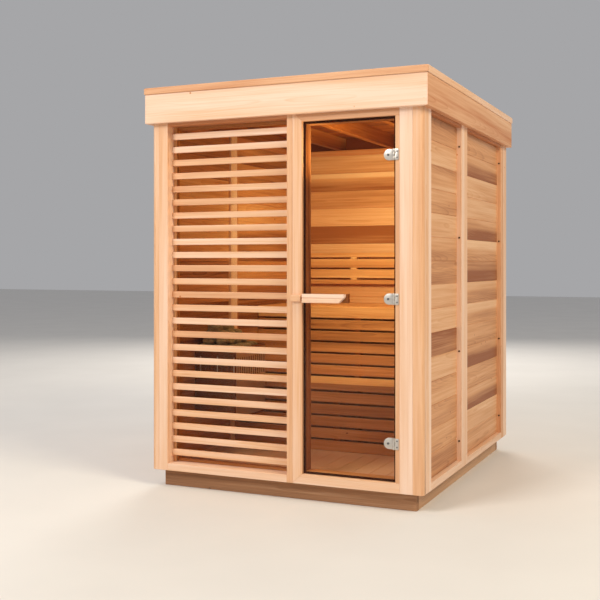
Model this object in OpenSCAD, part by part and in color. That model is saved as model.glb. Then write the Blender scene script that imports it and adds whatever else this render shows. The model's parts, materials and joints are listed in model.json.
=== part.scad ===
// Cube sauna: a framed cedar cabin with a louvred front bay, a glass door, two benches and a wall heater.
// X runs across the front, Y runs from the front to the back, Z runs up. The origin is on the ground, at the
// centre of the walls' plan.

/* [Cabin] */
// Width across the corner posts
body_w = 1524; // [1424:2:1800]
// Depth from the front of the front wall to the back of the back wall
body_d = 1829; // [1780:1:2200]
// Height of the walls from the base to the underside of the rafters
wall_h = 1890; // [1860:1:2100]
// Depth of the wall framing, from the outer to the inner face of a stud
frame_d = 89; // [86:1:110]
// Height of the sole plates, the top plates and the rails
plate_h = 38; // [28:1:50]

/* [Base and floor] */
// Height of the base beams
base_h = 90; // [60:1:140]
// Thickness of the base beams and floor joists
beam_t = 38; // [30:1:38]
// Distance from the walls' outer faces in to the base beams
base_inset = 50; // [20:1:51]
// Number of floor joists
joist_n = 3; // [3:2:7]
// Thickness of the floor deck
floor_t = 20; // [15:1:30]

/* [Front wall] */
// Width of the right corner post
right_post_w = 55; // [45:1:70]
// Width of the left corner post
left_post_w = 41; // [35:1:60]
// Radius of the corner posts' outer edges
post_edge_r = 20; // [5:1:30]
// Width of the stile beside the door
right_stile_w = 67; // [50:1:80]
// Width of the stile beside the louvres
left_stile_w = 55; // [45:1:80]
// Width of the mullion between the louvres and the door
mullion_w = 32; // [28:1:50]
// Width of the door casing on the latch side, and of the head
casing_w = 52; // [45:1:60]
// Width of the door casing on the hinge side
hinge_jamb_w = 21; // [18:1:32]
// Height of the door sill
sill_h = 50; // [40:1:52]
// Height of the door head
head_h = 60; // [54:1:80]
// Clear width between the door jambs
doorway_w = 495; // [450:1:560]
// How far the door stop stands into the doorway
stop_w = 12; // [8:1:15]

/* [Louvres and window] */
// Number of louvre slats
slat_n = 25; // [15:1:27]
// Height of one slat
slat_h = 33; // [25:1:38]
// Thickness of one slat
slat_t = 20; // [12:1:24]
// Distance from the front of the wall back to the slats
slat_recess = 44; // [20:1:46]
// Width of the cleats behind the slats' ends
cleat_w = 15; // [10:1:30]
// Depth of the cleats, between the slats and the pane
cleat_d = 12; // [8:1:14]
// Thickness of the window pane
pane_t = 6; // [4:1:8]
// Width of the beads inside the pane
bead_w = 18; // [12:1:30]
// Gap between the pane and the frame around it
pane_clear = 2; // [1:0.5:4]

/* [Door] */
// Gap between the door glass and the casing
door_gap = 6; // [5.5:0.5:8]
// Thickness of the door glass
door_glass_t = 8; // [6:1:10]
// Distance from the front of the wall back to the door glass
door_recess = 8; // [7:0.5:10]
// Thickness of the door seal
seal_t = 4; // [3:1:6]
// Gap between the shut door glass and its seal
seal_gap = 5; // [5:0.5:8]
// Height of the middle of the pull bars and the keeper above the ground
handle_z = 1028; // [900:1:1200]
// Length of the outer pull bar
handle_len = 228; // [160:1:260]
// How much shorter the inner pull bar is, at the latch end
inner_bar_cut = 20; // [15:1:40]
// Distance from the edge of the glass in to the outer pull bar
handle_inset = 6; // [4:1:30]
// Height of the pull bars
handle_h = 44; // [35:1:60]
// Thickness of the pull bars
handle_t = 26; // [20:1:29]
// Length of the spacers between the glass and the pull bars
handle_gap = 11; // [8:1:12]
// Width of the groove along each pull bar
groove_w = 8; // [4:1:12]
// Depth of the groove along each pull bar
groove_depth = 3; // [2:0.5:5]
// Radius of the bolts through the glass
bolt_r = 5; // [4:0.5:6]
// Gap between a bolt and its hole in the glass
bolt_clear = 0.5; // [0.3:0.1:1]
// Length of the keeper on the jamb
keeper_len = 57; // [40:1:60]
// Height of the keeper
keeper_h = 33; // [25:1:45]
// Thickness of the keeper
keeper_t = 15; // [10:1:20]
// Distance from the doorway to the keeper
keeper_inset = 2; // [1:1:8]

/* [Hinges] */
// Height of each hinge
hinge_h = 54; // [45:1:70]
// Width of the hinge plate on the glass
hinge_plate_w = 45; // [35:1:60]
// Distance from the end of the glass to the middle of the end hinges
hinge_end = 183; // [120:1:260]
// Thickness of the hinge leaf on the jamb and of the plates on the glass
hinge_t = 4; // [3.5:0.5:4.5]
// Outer radius of the hinge barrel
barrel_r = 6; // [5.5:0.5:6]
// Radius of the hinge pin
pin_r = 3; // [2.5:0.5:3.5]
// How far the pin's axis stands in front of the wall
pivot_out = 2; // [1.5:0.5:2.5]
// Distance from the edge of the glass in to the pin's axis
pivot_in = 1; // [0.5:0.5:2]
// Distance from the pin's axis to the hinge plates on the glass
plate_edge = 8; // [7.5:0.5:12]
// Distance from the hinge leaf to the edge of the hinge jamb
leaf_side_clear = 2; // [1:0.5:4]
// Gap between the hinge pin and its bore
pin_clear = 0.1; // [0.1:0.05:0.3]
// Gap between two knuckles of a hinge
knuckle_clear = 0.5; // [0.3:0.1:1]

/* [Side and back walls] */
// Thickness of the wall boards
board_t = 38; // [25:1:45]
// Distance from the side walls' studs in to the boards
board_recess = 28; // [15:1:35]
// Width of the side walls' front stud
front_stud_w = 38; // [30:1:60]
// Width of the studs at the panel joints and corners
stud_w = 61; // [45:1:75]
// Distance from the front of the cabin back to the joint of the side walls' panels
panel_joint_d = 766; // [650:1:900]
// Gap at the joint between two panels
joint_gap = 1; // [0.5:0.5:3]

/* [Roof] */
// Number of rafters
rafter_n = 5; // [3:2:7]
// Width of a rafter
rafter_w = 38; // [30:1:60]
// Height of a rafter
rafter_h = 89; // [70:1:140]
// Height of the fascia boards
fascia_h = 156; // [150:1:220]
// Thickness of the fascia boards
fascia_t = 29; // [20:1:40]
// How far the fascia comes down over the walls
fascia_lap = 24; // [15:1:34]
// Height of the roof cap
cap_h = 36; // [30:1:50]
// Width of the roof cap boards
cap_w = 60; // [45:1:100]
// How far the roof cap stands out over the fascia
cap_out = 5; // [3:1:20]
// Thickness of the roof covering
covering_t = 3; // [2:1:6]
// How far the roof covering lies below the top of the cap
covering_drop = 7; // [4:1:15]

/* [Benches] */
// Height of the lower bench's top above the ground
lower_top_z = 502; // [440:1:560]
// Height of the upper bench's top above the ground
upper_top_z = 935; // [920:1:1000]
// How far the lower bench stands in front of the side walls' panel joint
lower_bench_lap = 9; // [4:1:40]
// Depth of the lower bench, up to the front of the upper one
lower_bench_d = 338; // [300:1:400]
// Thickness of the bench boards
bench_t = 38; // [28:1:45]
// Gap between the bench boards
bench_gap = 9; // [5:1:15]
// Number of boards across the upper bench
upper_board_n = 7; // [4:1:9]
// Number of boards across the lower bench
lower_board_n = 4; // [2:1:5]
// Height of the board along the upper bench's front edge
nosing_h = 71; // [60:1:90]
// Height of one skirt or backrest slat
skirt_h = 59.4; // [50:0.2:66]
// Gap between two skirt or backrest slats
skirt_gap = 11; // [4:0.2:12]
// Thickness of the skirt and backrest slats
skirt_t = 19; // [15:1:25]
// Number of skirt slats under each bench
skirt_n = 5; // [3:1:5]
// Width of the bearers and legs
bearer_w = 38; // [30:1:50]
// Height of the bearers under the bench boards
bearer_h = 64; // [50:1:90]
// Gap between the benches' ends and the studs
bench_side_gap = 2; // [1:1:6]
// Gap between the upper bench and the back wall
bench_back_gap = 1; // [1:1:6]

/* [Backrest] */
// Number of full slats in the backrest
backrest_n = 2; // [1:1:5]
// Height of the narrow slats along the backrest's top and bottom
backrest_edge_h = 30; // [20:1:60]
// Height of the backrest's lower edge above the upper bench
backrest_rise = 127; // [60:1:200]
// Distance between the middles of the backrest battens
backrest_batten_span = 496; // [300:2:900]
// Width of the backrest battens
backrest_batten_w = 43; // [30:1:60]
// Depth of the backrest battens
backrest_batten_d = 25; // [18:1:40]

/* [Heater] */
// Width of the heater along the wall
heater_w = 400; // [340:1:420]
// Depth of the heater out from its bracket
heater_d = 270; // [220:1:290]
// Height of the heater's housing
heater_h = 400; // [320:1:460]
// Height of the heater's lower edge above the ground
heater_z = 330; // [250:1:360]
// Gap between the heater and the stud at the panel joint
heater_stud_gap = 5; // [3:1:40]
// Thickness of the heater's housing wall
heater_wall_t = 12; // [8:1:16]
// Radius of the heater's upright edges
heater_edge_r = 24; // [15:1:40]
// Depth of the stone basket in the heater's top
basket_depth = 60; // [45:1:100]
// Thickness of the heater's wall bracket
bracket_t = 10; // [6:1:20]
// Height of one rail of the wall bracket
bracket_rail_h = 40; // [25:1:60]
// Number of air slots across the heater's end
air_slot_n = 9; // [5:1:11]
// Width of one air slot
air_slot_w = 10; // [6:1:14]
// Height of the air slots
air_slot_h = 110; // [50:1:120]
// Height of the air slots' lower ends above the heater's lower edge
air_slot_z = 234; // [100:1:260]
// Mean width of one heater stone
stone_w = 74; // [60:1:80]
// Gap between one layer of stones and the next
stone_clear = 0.3; // [0.2:0.1:0.5]

/* [Hidden] */

CEDAR = "#E3B98F";
CEDAR_LIGHT = "#F0CFA9";
CEDAR_DARK = "#B97A4B";
TREATED = "#8A6A55";
GLASS = "#8A6F5C66";
STEEL = "#C9CBCC";
SOOT = "#3A3230";
ROOFING = "#4A4642";
STONE = "#6E726A";
// Facets of a round
round_fn = 48;
// How far a cutter runs past the face that it cuts
overlap = 1;

// Outer faces and heights that the pieces share
half_w = body_w / 2;
front_y = -body_d / 2;
back_y = body_d / 2;
wall_z0 = base_h;
wall_z1 = base_h + wall_h;
inner_w = half_w - frame_d;
inner_front_y = front_y + frame_d;
inner_back_y = back_y - frame_d;
sole_z1 = wall_z0 + plate_h;
plate_z0 = wall_z1 - plate_h;
floor_z = base_h + floor_t;
base_x = half_w - base_inset;
base_y = body_d / 2 - base_inset;

// Front wall, from the right corner to the left
right_stile_x = half_w - right_post_w - right_stile_w;
doorway_x1 = right_stile_x - hinge_jamb_w;
doorway_x0 = doorway_x1 - doorway_w;
casing_x0 = doorway_x0 - casing_w;
louver_x1 = casing_x0 - mullion_w;
louver_x0 = -half_w + left_post_w + left_stile_w;
doorway_z0 = wall_z0 + sill_h;
doorway_z1 = wall_z1 - head_h;
stop_y = front_y + door_recess + door_glass_t + seal_gap + seal_t;

// Louvres and window
slat_gap = (plate_z0 - sole_z1 - slat_n * slat_h) / (slat_n + 1);
slat_y = front_y + slat_recess;
cleat_y = slat_y + slat_t;
pane_y = cleat_y + cleat_d;

// Door
door_y = front_y + door_recess;
door_x0 = doorway_x0 + door_gap;
door_x1 = doorway_x1 - door_gap;
door_z0 = doorway_z0 + door_gap;
door_z1 = doorway_z1 - door_gap;
pivot_x = door_x1 - pivot_in;
pivot_y = front_y - pivot_out;
hinge_zs = [door_z0 + hinge_end, (door_z0 + door_z1) / 2, door_z1 - hinge_end];
knuckle_h = hinge_h / 3;
hinge_bolt_x = pivot_x - plate_edge - hinge_plate_w / 2;
handle_x0 = door_x0 + handle_inset;
// Where the bolts stand along the inner pull bar, as shares of its length
bolt_shares = [0.2, 0.8];
handle_bolt_xs = [for (share = bolt_shares) handle_x0 + inner_bar_cut + share * (handle_len - inner_bar_cut)];

// Side and back walls
board_x = half_w - board_recess - board_t;
joint_y = front_y + panel_joint_d;
front_bay = [inner_front_y + front_stud_w, joint_y - stud_w];
rear_bay = [joint_y + stud_w, inner_back_y - stud_w];

// Roof
deck_z = wall_z1 + rafter_h;
fascia_z = wall_z1 - fascia_lap;
cap_z = fascia_z + fascia_h;
cap_z1 = cap_z + cap_h;
covering_z = cap_z1 - covering_drop - covering_t;
cap_edge = fascia_t + cap_out;

// Benches
lower_y = joint_y - lower_bench_lap;
upper_y = lower_y + lower_bench_d;
bench_back_y = inner_back_y - bench_back_gap;
bench_x = inner_w - bench_side_gap;
skirt_pitch = skirt_h + skirt_gap;
leg_xs = [-inner_w + bearer_w / 2, 0, inner_w - bearer_w / 2];
backrest_z = upper_top_z + backrest_rise;
backrest_y = inner_back_y - backrest_batten_d;
backrest_full_z = backrest_z + backrest_edge_h + skirt_gap;
backrest_upper_z = backrest_full_z + backrest_n * skirt_pitch;

// Heater
heater_x0 = -board_x + bracket_t;
heater_y0 = front_bay[1] - heater_stud_gap - heater_w;
heater_top = heater_z + heater_h;
stone_h = stone_w / 2;
// Stones along and across the heater in each layer, from the basket up
stone_layers = [[5, 3], [4, 3], [4, 2], [3, 2], [3, 1]];
STONE_SIDES = 7;

// A box between two corners
module block(low, high) {
    translate(low) cube(high - low);
}

// A rectangle with rounded corners
module rounded_rect(low, high, r) {
    size = high - low;
    translate([low[0] + r, low[1]]) square([size[0] - 2 * r, size[1]]);
    translate([low[0], low[1] + r]) square([size[0], size[1] - 2 * r]);
    for (x = [low[0] + r, high[0] - r], y = [low[1] + r, high[1] - r])
        translate([x, y]) circle(r = r, $fn = round_fn);
}

// A flat outline in the X-Z plane, standing between two depths
module upright_slab(y0, y1) {
    translate([0, y1, 0]) rotate([90, 0, 0]) linear_extrude(height = y1 - y0) children();
}

// A round rod from front to back, between two depths
module rod(r, y0, y1) {
    translate([0, y0, 0]) rotate([-90, 0, 0]) cylinder(r = r, h = y1 - y0, $fn = round_fn);
}

// Four boards around a rectangle, mitred at the corners, as a pair along X or a pair along Y
module mitred_pair(edge, board, z0, z1, along_x) {
    outer = [half_w + edge, body_d / 2 + edge];
    inner = [outer[0] - board, outer[1] - board];
    length_out = along_x ? outer[0] : outer[1];
    length_in = along_x ? inner[0] : inner[1];
    side_out = along_x ? outer[1] : outer[0];
    side_in = along_x ? inner[1] : inner[0];
    for (turn = [0, 180])
        rotate([0, 0, turn + (along_x ? 0 : 90)])
            translate([0, 0, z0])
                linear_extrude(height = z1 - z0)
                    polygon([[-length_out, -side_out], [length_out, -side_out],
                             [length_in, -side_in], [-length_in, -side_in]]);
}

// ---- Base and floor

module base_cross_beams() {
    color(TREATED)
        for (turn = [0, 180])
            rotate([0, 0, turn])
                block([-base_x, -base_y, 0], [base_x, -base_y + beam_t, base_h]);
}

module base_side_beams() {
    color(TREATED)
        for (turn = [0, 180])
            rotate([0, 0, turn])
                block([-base_x, -base_y + beam_t, 0], [-base_x + beam_t, base_y - beam_t, base_h]);
}

module floor_joists() {
    reach = base_x - beam_t;
    span = 2 * (base_y - beam_t);
    pitch = span / (joist_n + 1);
    color(TREATED)
        for (i = [1 : joist_n])
            translate([-reach, -span / 2 + i * pitch - beam_t / 2, 0]) cube([2 * reach, beam_t, base_h]);
}

module floor_deck() {
    color(CEDAR_DARK) block([-inner_w, inner_front_y, base_h], [inner_w, inner_back_y, floor_z]);
}

// ---- Front wall

// Plan of a corner post whose outer front edge is rounded; it stands to the right of x = 0
module post_plan(w) {
    intersection() {
        square([w, frame_d]);
        rounded_rect([-w, 0], [w, 2 * frame_d], post_edge_r);
    }
}

module front_corner_posts() {
    color(CEDAR_LIGHT) {
        translate([half_w - right_post_w, front_y, wall_z0])
            linear_extrude(height = wall_h) post_plan(right_post_w);
        mirror([1, 0, 0])
            translate([half_w - left_post_w, front_y, wall_z0])
                linear_extrude(height = wall_h) post_plan(left_post_w);
    }
}

module front_stiles() {
    color(CEDAR_LIGHT) {
        block([-half_w + left_post_w, front_y, wall_z0], [louver_x0, inner_front_y, wall_z1]);
        block([louver_x1, front_y, wall_z0], [casing_x0, inner_front_y, wall_z1]);
        block([right_stile_x, front_y, wall_z0], [half_w - right_post_w, inner_front_y, wall_z1]);
    }
}

module front_plates() {
    color(CEDAR) {
        block([louver_x0, front_y, wall_z0], [louver_x1, inner_front_y, sole_z1]);
        block([louver_x0, front_y, plate_z0], [louver_x1, inner_front_y, wall_z1]);
    }
}

module louver_slats() {
    color(CEDAR_LIGHT)
        for (i = [0 : slat_n - 1])
            translate([louver_x0, slat_y, sole_z1 + slat_gap + i * (slat_h + slat_gap)])
                cube([louver_x1 - louver_x0, slat_t, slat_h]);
}

module louver_cleats() {
    color(CEDAR) {
        block([louver_x0, cleat_y, sole_z1], [louver_x0 + cleat_w, pane_y, plate_z0]);
        block([louver_x1 - cleat_w, cleat_y, sole_z1], [louver_x1, pane_y, plate_z0]);
    }
}

module window_glass() {
    color(GLASS)
        block([louver_x0 + pane_clear, pane_y, sole_z1 + pane_clear],
              [louver_x1 - pane_clear, pane_y + pane_t, plate_z0 - pane_clear]);
}

module window_beads() {
    color(CEDAR)
        upright_slab(pane_y + pane_t, inner_front_y + bead_w / 2)
            difference() {
                translate([louver_x0, sole_z1]) square([louver_x1 - louver_x0, plate_z0 - sole_z1]);
                translate([louver_x0 + bead_w, sole_z1 + bead_w])
                    square([louver_x1 - louver_x0 - 2 * bead_w, plate_z0 - sole_z1 - 2 * bead_w]);
            }
}

// ---- Door casing

// Outline of the whole casing; inset is how far this layer stands into the doorway
module casing_ring(inset) {
    difference() {
        translate([casing_x0, wall_z0]) square([right_stile_x - casing_x0, wall_h]);
        translate([doorway_x0 + inset, doorway_z0 + inset])
            square([doorway_w - 2 * inset, doorway_z1 - doorway_z0 - 2 * inset]);
    }
}

// The part of the casing that belongs to the latch jamb, bounded by the two mitres
module latch_side() {
    out = 2 * casing_w;
    into = 2 * stop_w;
    polygon([[doorway_x0 - out, doorway_z0 - out], [doorway_x0 + into, doorway_z0 + into],
             [doorway_x0 + into, doorway_z1 - into], [doorway_x0 - out, doorway_z1 + out]]);
}

// The part of the casing that belongs to the hinge jamb, which butts against the head and the sill
module hinge_side(inset) {
    translate([doorway_x1 - inset, doorway_z0 + inset])
        square([hinge_jamb_w + inset, doorway_z1 - doorway_z0 - 2 * inset]);
}

module door_jambs() {
    color(CEDAR_LIGHT) {
        intersection() {
            union() {
                upright_slab(front_y, stop_y) casing_ring(0);
                upright_slab(stop_y, inner_front_y) casing_ring(stop_w);
            }
            upright_slab(front_y, inner_front_y) latch_side();
        }
        upright_slab(front_y, stop_y) hinge_side(0);
        upright_slab(stop_y, inner_front_y) hinge_side(stop_w);
    }
}

module door_head_sill() {
    color(CEDAR)
        difference() {
            union() {
                upright_slab(front_y, stop_y) casing_ring(0);
                upright_slab(stop_y, inner_front_y) casing_ring(stop_w);
            }
            upright_slab(front_y - overlap, inner_front_y + overlap) latch_side();
            upright_slab(front_y - overlap, stop_y) hinge_side(0);
            upright_slab(stop_y, inner_front_y + overlap) hinge_side(stop_w);
        }
}

module door_seal() {
    color(SOOT)
        upright_slab(stop_y - seal_t, stop_y)
            difference() {
                translate([doorway_x0, doorway_z0]) square([doorway_w, doorway_z1 - doorway_z0]);
                translate([doorway_x0 + stop_w, doorway_z0 + stop_w])
                    square([doorway_w - 2 * stop_w, doorway_z1 - doorway_z0 - 2 * stop_w]);
            }
}

// Square by the doorway and rounded at the other end
module latch_keeper() {
    x1 = doorway_x0 - keeper_inset;
    low = [x1 - keeper_len, handle_z - keeper_h / 2];
    color(CEDAR_LIGHT)
        upright_slab(front_y - keeper_t, front_y)
            intersection() {
                translate(low) square([keeper_len, keeper_h]);
                rounded_rect(low, low + [2 * keeper_len, keeper_h], keeper_h / 3);
            }
}

// ---- Hinges

// The leaf screwed to the hinge jamb, with the outer knuckles and the pin
module hinge_frame_leaf() {
    outer_z = knuckle_h / 2 + knuckle_clear;
    color(STEEL) {
        block([doorway_x1, front_y - hinge_t, -hinge_h / 2],
              [right_stile_x - leaf_side_clear, front_y, hinge_h / 2]);
        for (lower = [0, 1])
            mirror([0, 0, lower]) {
                block([pivot_x, front_y - hinge_t, outer_z], [doorway_x1 + overlap, front_y, hinge_h / 2]);
                translate([pivot_x, pivot_y, outer_z])
                    cylinder(r = barrel_r, h = hinge_h / 2 - outer_z, $fn = round_fn);
            }
        translate([pivot_x, pivot_y, -outer_z - knuckle_clear])
            cylinder(r = pin_r, h = 2 * (outer_z + knuckle_clear), $fn = round_fn);
    }
}

module hinge_frame_leaves() {
    for (z = hinge_zs)
        translate([0, 0, z]) hinge_frame_leaf();
}

// Outline of the plate on the glass: square by the barrel, rounded at the free end
module glass_plate_outline() {
    round_r = hinge_h / 2;
    x1 = pivot_x - plate_edge;
    x0 = x1 - hinge_plate_w;
    intersection() {
        translate([x0, -hinge_h / 2]) square([hinge_plate_w, hinge_h]);
        union() {
            translate([x0 + round_r, 0]) circle(r = round_r, $fn = round_fn);
            translate([x0 + round_r, -round_r]) square([hinge_plate_w, hinge_h]);
        }
    }
}

// The outer plate with the middle knuckle, the inner plate, and the bolt that joins them through the glass
module hinge_glass_plate() {
    color(STEEL) {
        difference() {
            union() {
                upright_slab(door_y - hinge_t, door_y) glass_plate_outline();
                block([pivot_x - plate_edge - overlap, door_y - hinge_t, -knuckle_h / 2],
                      [pivot_x, door_y, knuckle_h / 2]);
                block([pivot_x - barrel_r, pivot_y, -knuckle_h / 2],
                      [pivot_x, door_y - overlap, knuckle_h / 2]);
                translate([pivot_x, pivot_y, -knuckle_h / 2])
                    cylinder(r = barrel_r, h = knuckle_h, $fn = round_fn);
            }
            translate([pivot_x, pivot_y, -knuckle_h])
                cylinder(r = pin_r + pin_clear, h = 2 * knuckle_h, $fn = round_fn);
        }
        upright_slab(door_y + door_glass_t, door_y + door_glass_t + hinge_t) glass_plate_outline();
        translate([hinge_bolt_x, 0, 0]) rod(bolt_r, door_y - overlap, door_y + door_glass_t + overlap);
    }
}

module hinge_glass_plates() {
    for (z = hinge_zs)
        translate([0, 0, z]) hinge_glass_plate();
}

// ---- Door

module door_glass() {
    color(GLASS)
        difference() {
            block([door_x0, door_y, door_z0], [door_x1, door_y + door_glass_t, door_z1]);
            for (at = concat([for (z = hinge_zs) [hinge_bolt_x, 0, z]],
                             [for (x = handle_bolt_xs) [x, 0, handle_z]]))
                translate(at) rod(bolt_r + bolt_clear, door_y - overlap, door_y + door_glass_t + overlap);
        }
}

// A pull bar with a groove along its face; face is -1 for the outer bar and 1 for the inner one
module pull_bar(x0, x1, y0, face) {
    chamfer = handle_t / 2;
    y1 = y0 + face * handle_t;
    difference() {
        translate([0, 0, handle_z - handle_h / 2])
            linear_extrude(height = handle_h)
                polygon([[x0, y0], [x1, y0], [x1, y1 - face * chamfer], [x1 - chamfer, y1], [x0, y1]]);
        block([x0 - overlap, min(y1 - face * groove_depth, y1 + face * overlap), handle_z - groove_w / 2],
              [x1 + overlap, max(y1 - face * groove_depth, y1 + face * overlap), handle_z + groove_w / 2]);
    }
}

module door_handles() {
    outer_y = door_y - handle_gap;
    inner_y = door_y + door_glass_t + handle_gap;
    x1 = handle_x0 + handle_len;
    color(CEDAR_LIGHT) {
        pull_bar(handle_x0, x1, outer_y, -1);
        pull_bar(handle_x0 + inner_bar_cut, x1, inner_y, 1);
    }
    color(STEEL)
        for (x = handle_bolt_xs)
            translate([x, 0, handle_z]) {
                rod(bolt_r, outer_y - overlap, inner_y + overlap);
                rod(2 * bolt_r, outer_y, door_y);
                rod(2 * bolt_r, door_y + door_glass_t, inner_y);
            }
}

// ---- Side and back walls, drawn for the right side

module side_studs() {
    color(CEDAR) {
        block([inner_w, inner_front_y, wall_z0], [half_w, inner_front_y + front_stud_w, wall_z1]);
        block([inner_w, joint_y - stud_w, wall_z0], [half_w, joint_y - joint_gap / 2, wall_z1]);
        block([inner_w, joint_y + joint_gap / 2, wall_z0], [half_w, joint_y + stud_w, wall_z1]);
        block([inner_w, inner_back_y - stud_w, wall_z0], [half_w, inner_back_y, wall_z1]);
    }
}

module side_rails() {
    color(CEDAR)
        for (bay = [front_bay, rear_bay], z = [wall_z0, plate_z0])
            block([inner_w, bay[0], z], [half_w, bay[1], z + plate_h]);
}

module side_boards() {
    color(CEDAR_DARK)
        for (bay = [front_bay, rear_bay])
            block([board_x, bay[0], sole_z1], [board_x + board_t, bay[1], plate_z0]);
}

module right_wall_studs() { side_studs(); }
module right_wall_rails() { side_rails(); }
module right_wall_boards() { side_boards(); }
module left_wall_studs() { mirror([1, 0, 0]) side_studs(); }
module left_wall_rails() { mirror([1, 0, 0]) side_rails(); }
module left_wall_boards() { mirror([1, 0, 0]) side_boards(); }

module back_wall_studs() {
    color(CEDAR)
        for (side = [0, 1])
            mirror([side, 0, 0]) {
                block([half_w - stud_w, inner_back_y, wall_z0], [half_w, back_y, wall_z1]);
                block([joint_gap / 2, inner_back_y + board_t, sole_z1], [stud_w, back_y, plate_z0]);
            }
}

module back_wall_rails() {
    color(CEDAR)
        for (z = [wall_z0, plate_z0])
            block([-half_w + stud_w, inner_back_y, z], [half_w - stud_w, back_y, z + plate_h]);
}

module back_wall_boards() {
    color(CEDAR_DARK)
        block([-half_w + stud_w, inner_back_y, sole_z1], [half_w - stud_w, inner_back_y + board_t, plate_z0]);
}

// ---- Roof

module roof_rafters() {
    pitch = (body_w - rafter_w) / (rafter_n - 1);
    color(CEDAR)
        for (i = [0 : rafter_n - 1])
            translate([-half_w + i * pitch, front_y, wall_z1]) cube([rafter_w, body_d, rafter_h]);
}

module roof_deck() {
    edge = cap_w - cap_edge;
    color(CEDAR_DARK) {
        block([-half_w, front_y, deck_z], [half_w, back_y, cap_z]);
        block([-half_w + edge, front_y + edge, cap_z], [half_w - edge, back_y - edge, covering_z]);
    }
}

module roof_covering() {
    edge = cap_w - cap_edge;
    color(ROOFING)
        block([-half_w + edge, front_y + edge, covering_z],
              [half_w - edge, back_y - edge, covering_z + covering_t]);
}

module fascia_front_rear() { color(CEDAR_LIGHT) mitred_pair(fascia_t, fascia_t, fascia_z, cap_z, true); }
module fascia_sides() { color(CEDAR) mitred_pair(fascia_t, fascia_t, fascia_z, cap_z, false); }
module roof_cap_front_rear() { color(CEDAR) mitred_pair(cap_edge, cap_w, cap_z, cap_z1, true); }
module roof_cap_sides() { color(CEDAR) mitred_pair(cap_edge, cap_w, cap_z, cap_z1, false); }

// ---- Benches

// Boards of one bench, side by side from y0 to y1
module bench_boards(y0, y1, z1, board_n) {
    board_w = (y1 - y0 - (board_n - 1) * bench_gap) / board_n;
    for (i = [0 : board_n - 1])
        translate([-bench_x, y0 + i * (board_w + bench_gap), z1 - bench_t])
            cube([2 * bench_x, board_w, bench_t]);
}

// Skirt slats hung below z1
module skirt(y0, z1) {
    for (i = [1 : skirt_n])
        translate([-bench_x, y0, z1 - i * skirt_pitch]) cube([2 * bench_x, skirt_t, skirt_h]);
}

module lower_bench_boards() {
    color(CEDAR) bench_boards(lower_y, upper_y, lower_top_z, lower_board_n);
}

module upper_bench_boards() {
    color(CEDAR) {
        bench_boards(upper_y + bench_t + bench_gap, bench_back_y, upper_top_z, upper_board_n);
        block([-bench_x, upper_y, upper_top_z - nosing_h], [bench_x, upper_y + bench_t, upper_top_z]);
    }
}

module bench_skirts() {
    color(CEDAR_DARK) {
        skirt(lower_y, lower_top_z - bench_t);
        skirt(upper_y, upper_top_z - nosing_h);
    }
}

// Bearers from front to back under the boards, and the legs behind the skirts
module bench_frames() {
    color(CEDAR_DARK)
        for (x = leg_xs) {
            translate([x - bearer_w / 2, 0, 0]) {
                block([0, lower_y + skirt_t, lower_top_z - bench_t - bearer_h],
                      [bearer_w, upper_y + skirt_t, lower_top_z - bench_t]);
                block([0, lower_y + skirt_t, floor_z],
                      [bearer_w, lower_y + skirt_t + bearer_w, lower_top_z - bench_t]);
                block([0, upper_y + skirt_t, floor_z],
                      [bearer_w, upper_y + skirt_t + bearer_w, upper_top_z - nosing_h]);
                block([0, upper_y + bench_t, upper_top_z - bench_t - bearer_h],
                      [bearer_w, bench_back_y, upper_top_z - bench_t]);
            }
        }
}

// ---- Backrest

module backrest_slats() {
    color(CEDAR_DARK)
        translate([-bench_x, backrest_y - skirt_t, 0]) {
            for (z = [backrest_z, backrest_upper_z])
                translate([0, 0, z]) cube([2 * bench_x, skirt_t, backrest_edge_h]);
            for (i = [0 : backrest_n - 1])
                translate([0, 0, backrest_full_z + i * skirt_pitch])
                    cube([2 * bench_x, skirt_t, skirt_h]);
        }
}

module backrest_battens() {
    color(CEDAR)
        for (side = [-1, 1])
            translate([side * backrest_batten_span / 2 - backrest_batten_w / 2, backrest_y, backrest_z])
                cube([backrest_batten_w, backrest_batten_d,
                      backrest_upper_z + backrest_edge_h - backrest_z]);
}

// ---- Heater

// Plan of the heater with rounded upright edges, inset from the housing's outside
module heater_plan(inset) {
    rounded_rect([heater_x0 + inset, heater_y0 + inset],
                 [heater_x0 + heater_d - inset, heater_y0 + heater_w - inset], heater_edge_r - inset);
}

module heater_body() {
    slot_pitch = (heater_d - 2 * heater_edge_r) / air_slot_n;
    slot_x0 = heater_x0 + heater_edge_r + (slot_pitch - air_slot_w) / 2;
    color(SOOT)
        difference() {
            translate([0, 0, heater_z]) linear_extrude(height = heater_h) heater_plan(0);
            translate([0, 0, heater_top - basket_depth])
                linear_extrude(height = basket_depth + overlap) heater_plan(heater_wall_t);
            for (i = [0 : air_slot_n - 1])
                translate([slot_x0 + i * slot_pitch, heater_y0 - overlap, heater_z + air_slot_z])
                    cube([air_slot_w, heater_wall_t / 2 + overlap, air_slot_h]);
        }
}

module heater_bracket() {
    color(STEEL)
        for (z = [heater_z + bracket_rail_h, heater_top - basket_depth - 2 * bracket_rail_h])
            block([-board_x, heater_y0 + heater_edge_r, z],
                  [heater_x0, heater_y0 + heater_w - heater_edge_r, z + bracket_rail_h]);
}

// Corners of one ring of a stone, pushed in and out by the seed
function stone_ring(seed, share, z) =
    let (lumps = rands(0.84, 0.98, STONE_SIDES, seed))
    [for (k = [0 : STONE_SIDES - 1])
        [cos(k * 360 / STONE_SIDES) * lumps[k] * share * stone_w / 2,
         sin(k * 360 / STONE_SIDES) * lumps[k] * share * stone_w / 2, z]];

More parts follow.
